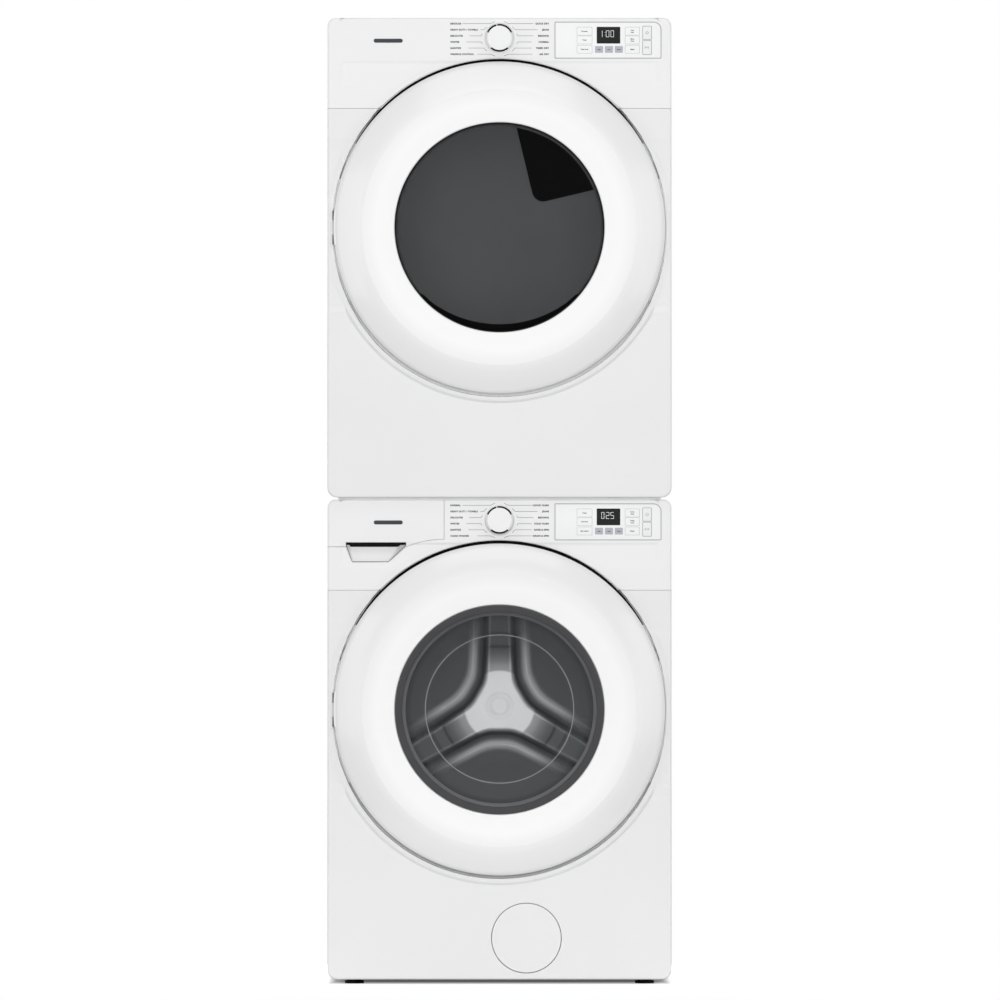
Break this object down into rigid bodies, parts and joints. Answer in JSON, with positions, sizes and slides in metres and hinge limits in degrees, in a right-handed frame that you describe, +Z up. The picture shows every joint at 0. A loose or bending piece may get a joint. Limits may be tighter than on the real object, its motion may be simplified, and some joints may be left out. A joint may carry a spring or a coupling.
{
  "type": "stacked washer and dryer",
  "caption": "Front-loading washer with a matching vented dryer stacked on top, round glazed doors, knobs, a dispenser drawer and turning drums.",
  "frame": {"origin": "on the floor, under the middle of the stack", "axes": "+Z up, the fronts and doors face -Y, +X to the right seen from the front"},
  "size_m": [0.686, 0.786, 1.928],
  "materials": {
    "white_enamel": "gloss white enamel",
    "white_plastic": "satin white",
    "grey_plastic": "matt light grey",
    "dark_plastic": "matt dark grey",
    "black_plastic": "matt black",
    "clear_glass": "pressed clear glass",
    "smoked_glass": "dark tinted glass",
    "grey_rubber": "moulded grey rubber",
    "black_rubber": "moulded black rubber",
    "stainless": "polished stainless sheet",
    "galvanised": "zinc coated sheet"
  },
  "bodies": {
    "stack": {"dryer_base": "galvanised", "dryer_belt": "black_rubber", "dryer_blower": "galvanised", "dryer_cabinet": "white_enamel", "dryer_console": "white_plastic", "dryer_control_lens": "white_plastic", "dryer_door_hinge": "galvanised", "dryer_front_bulkhead": "galvanised", "dryer_front_panel": "white_enamel", "dryer_heater_housing": "galvanised", "dryer_lid": "white_enamel", "dryer_motor": "dark_plastic", "dryer_rear_bulkhead": "galvanised", "dryer_rear_cover": "galvanised", "washer_base": "galvanised", "washer_belt": "black_rubber", "washer_cabinet": "white_enamel", "washer_console": "white_plastic", "washer_control_lens": "white_plastic", "washer_dispenser_housing": "grey_plastic", "washer_door_hinge": "galvanised", "washer_door_lock": "dark_plastic", "washer_drain_pump": "grey_plastic", "washer_foot_front_left": "black_rubber", "washer_foot_front_right": "black_rubber", "washer_foot_rear_left": "black_rubber", "washer_foot_rear_right": "black_rubber", "washer_front_panel": "white_enamel", "washer_gasket": "grey_rubber", "washer_inlet_valve": "grey_plastic", "washer_lid": "white_enamel", "washer_motor": "dark_plastic", "washer_rear_cover": "galvanised", "washer_strut_left": "galvanised", "washer_strut_right": "galvanised", "washer_tub": "grey_plastic"},
    "washer_door": {"washer_door_frame": "white_plastic", "washer_door_liner": "white_plastic", "washer_door_glass": "clear_glass"},
    "washer_drawer": {"washer_drawer_front": "white_plastic", "washer_drawer_tray": "grey_plastic"},
    "washer_drum": {"washer_drum": "stainless", "washer_drum_pulley": "galvanised"},
    "washer_rotor": {"washer_motor_pulley": "galvanised"},
    "washer_knob": {"washer_knob": "white_plastic"},
    "washer_power_key": {"washer_power_key": "grey_plastic"},
    "washer_start_key": {"washer_start_key": "grey_plastic"},
    "washer_filter_cover": {"washer_filter_cover": "white_plastic"},
    "washer_filter_cap": {"washer_filter_cap": "dark_plastic"},
    "dryer_door": {"dryer_door_frame": "white_plastic", "dryer_door_liner": "white_plastic", "dryer_door_glass": "smoked_glass"},
    "dryer_drum": {"dryer_drum": "galvanised"},
    "dryer_rotor": {"dryer_motor_shaft": "galvanised"},
    "dryer_roller_left": {"dryer_roller_left": "dark_plastic"},
    "dryer_roller_right": {"dryer_roller_right": "dark_plastic"},
    "dryer_knob": {"dryer_knob": "white_plastic"},
    "dryer_power_key": {"dryer_power_key": "grey_plastic"},
    "dryer_start_key": {"dryer_start_key": "grey_plastic"},
    "dryer_lint_screen": {"dryer_lint_screen": "black_plastic"}
  },
  "joints": [
    {"name": "dryer_door_hinge", "type": "hinge", "parent": "stack", "child": "dryer_door", "pos_m": [-0.329, -0.361, 1.5095], "axis": [0, 0, -1], "range_deg": [0, 150]},
    {"name": "dryer_drum_spin", "type": "hinge", "parent": "stack", "child": "dryer_drum", "pos_m": [0, 0, 1.5095], "axis": [0, -1, 0], "continuous": true},
    {"name": "dryer_knob_turn", "type": "hinge", "parent": "stack", "child": "dryer_knob", "pos_m": [0, -0.35, 1.8875], "axis": [0, -1, 0], "continuous": true},
    {"name": "dryer_lint_screen_slide", "type": "slide", "parent": "stack", "child": "dryer_lint_screen", "axis": [0, 0, 1], "range_m": [0, 0.19]},
    {"name": "dryer_power_press", "type": "slide", "parent": "stack", "child": "dryer_power_key", "axis": [0, 1, 0], "range_m": [0, 0.001], "stiffness_N_per_m": 600},
    {"name": "dryer_roller_left_spin", "type": "hinge", "parent": "stack", "child": "dryer_roller_left", "pos_m": [-0.1723, 0.208, 1.21107], "axis": [0, -1, 0], "continuous": true},
    {"name": "dryer_roller_right_spin", "type": "hinge", "parent": "stack", "child": "dryer_roller_right", "pos_m": [0.1723, 0.208, 1.21107], "axis": [0, -1, 0], "continuous": true},
    {"name": "dryer_rotor_spin", "type": "hinge", "parent": "stack", "child": "dryer_rotor", "pos_m": [0.15, 0, 1.076], "axis": [0, -1, 0], "continuous": true},
    {"name": "dryer_start_press", "type": "slide", "parent": "stack", "child": "dryer_start_key", "axis": [0, 1, 0], "range_m": [0, 0.001], "stiffness_N_per_m": 600},
    {"name": "washer_door_hinge", "type": "hinge", "parent": "stack", "child": "washer_door", "pos_m": [-0.329, -0.361, 0.5485], "axis": [0, 0, -1], "range_deg": [0, 150]},
    {"name": "washer_drawer_slide", "type": "slide", "parent": "stack", "child": "washer_drawer", "axis": [0, -1, 0], "range_m": [0, 0.24]},
    {"name": "washer_drum_spin", "type": "hinge", "parent": "stack", "child": "washer_drum", "pos_m": [0, 0, 0.5485], "axis": [0, -1, 0], "continuous": true},
    {"name": "washer_filter_cap_turn", "type": "hinge", "parent": "stack", "child": "washer_filter_cap", "pos_m": [0.0536, -0.325, 0.0928], "axis": [0, -1, 0], "range_deg": [0, 180]},
    {"name": "washer_filter_cover_hinge", "type": "hinge", "parent": "stack", "child": "washer_filter_cover", "pos_m": [0.0536, -0.3583, 0.0233], "axis": [1, 0, 0], "range_deg": [0, 90]},
    {"name": "washer_knob_turn", "type": "hinge", "parent": "stack", "child": "washer_knob", "pos_m": [0, -0.35, 0.9265], "axis": [0, -1, 0], "continuous": true},
    {"name": "washer_power_press", "type": "slide", "parent": "stack", "child": "washer_power_key", "axis": [0, 1, 0], "range_m": [0, 0.001], "stiffness_N_per_m": 600},
    {"name": "washer_rotor_spin", "type": "hinge", "parent": "stack", "child": "washer_rotor", "pos_m": [-0.095, 0.24, 0.175], "axis": [0, -1, 0], "continuous": true},
    {"name": "washer_start_press", "type": "slide", "parent": "stack", "child": "washer_start_key", "axis": [0, 1, 0], "range_m": [0, 0.001], "stiffness_N_per_m": 600}
  ],
  "couplings": [
    {"joint": "washer_rotor_spin", "follows": "washer_drum_spin", "ratio": 11.667},
    {"joint": "dryer_rotor_spin", "follows": "dryer_drum_spin", "ratio": 28.182},
    {"joint": "dryer_roller_left_spin", "follows": "dryer_drum_spin", "ratio": -9.1176},
    {"joint": "dryer_roller_right_spin", "follows": "dryer_drum_spin", "ratio": -9.1176}
  ]
}
